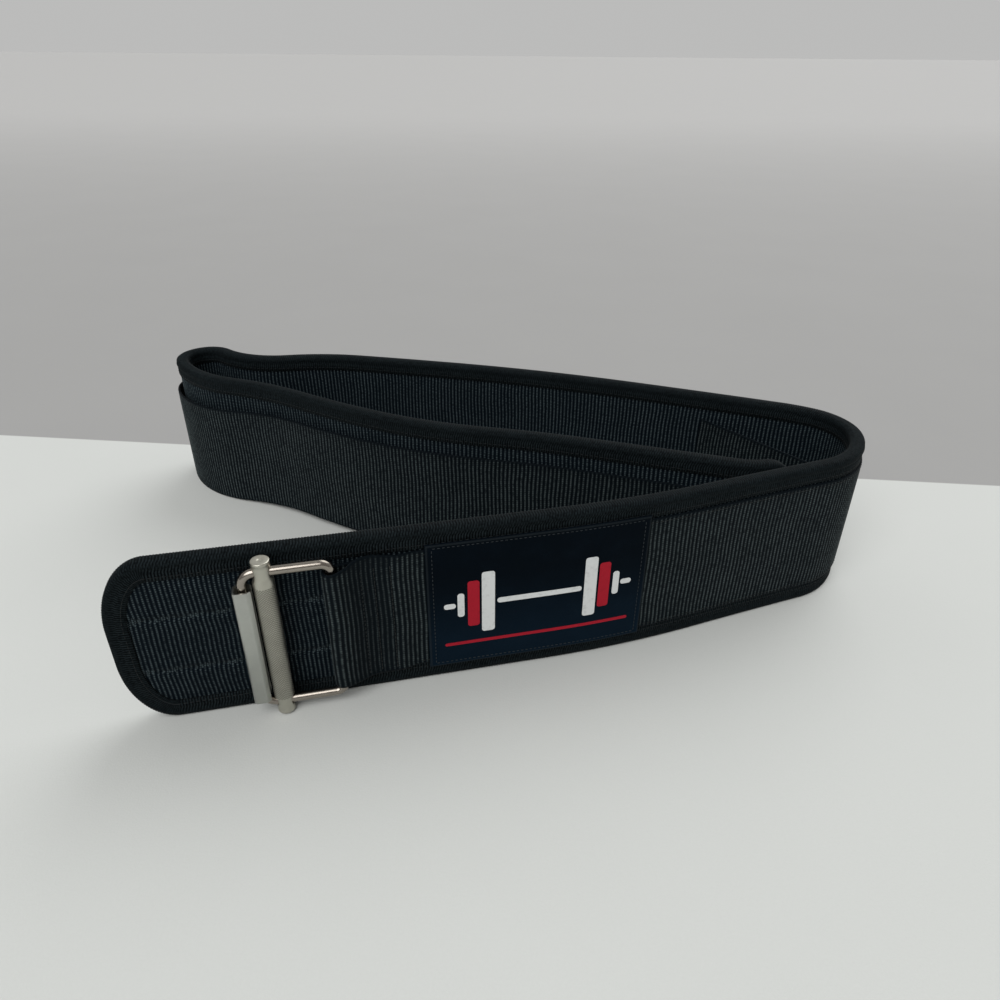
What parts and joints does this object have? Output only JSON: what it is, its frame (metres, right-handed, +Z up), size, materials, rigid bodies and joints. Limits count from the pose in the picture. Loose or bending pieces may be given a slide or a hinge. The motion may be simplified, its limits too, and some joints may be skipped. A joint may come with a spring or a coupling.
{
  "type": "weightlifting belt",
  "caption": "Padded nylon weightlifting belt with bound edges, a webbing strap, a label patch and a roller buckle, standing on its edge in a loose loop.",
  "frame": {"origin": "bottom centre of the whole belt's box, on the surface that the belt stands on", "axes": "+Z up, across the band's width; +X along the length of the standing loop, from the flap toward the right bend; +Y from the front stretch toward the rear stretch"},
  "size_m": [0.501, 0.3176, 0.1016],
  "materials": {
    "band_fabric": "ribbed nylon fabric",
    "binding_tape": "fine ribbed tape",
    "strap_webbing": "heavy ribbed webbing",
    "patch_leather": "smooth dark leather-like label",
    "polished_wire": "polished nickel",
    "satin_sleeve": "satin nickel",
    "satin_roller": "fine knurled satin nickel"
  },
  "bodies": {
    "belt": {"padded_band": "band_fabric", "edge_binding": "binding_tape", "strap": "strap_webbing", "patch": "patch_leather"},
    "buckle": {"buckle_frame": "polished_wire", "buckle_sleeve": "satin_sleeve"},
    "roller": {"roller_bar": "satin_roller"}
  },
  "joints": [
    {"name": "buckle_swing", "type": "hinge", "parent": "belt", "child": "buckle", "pos_m": [-0.07252, -0.13981, 0.0508], "axis": [0, 0, 1], "range_deg": [0, 155]},
    {"name": "roller_slide", "type": "slide", "parent": "buckle", "child": "roller", "axis": [0.9728, 0.2317, 0], "range_m": [0, 0.018]}
  ]
}
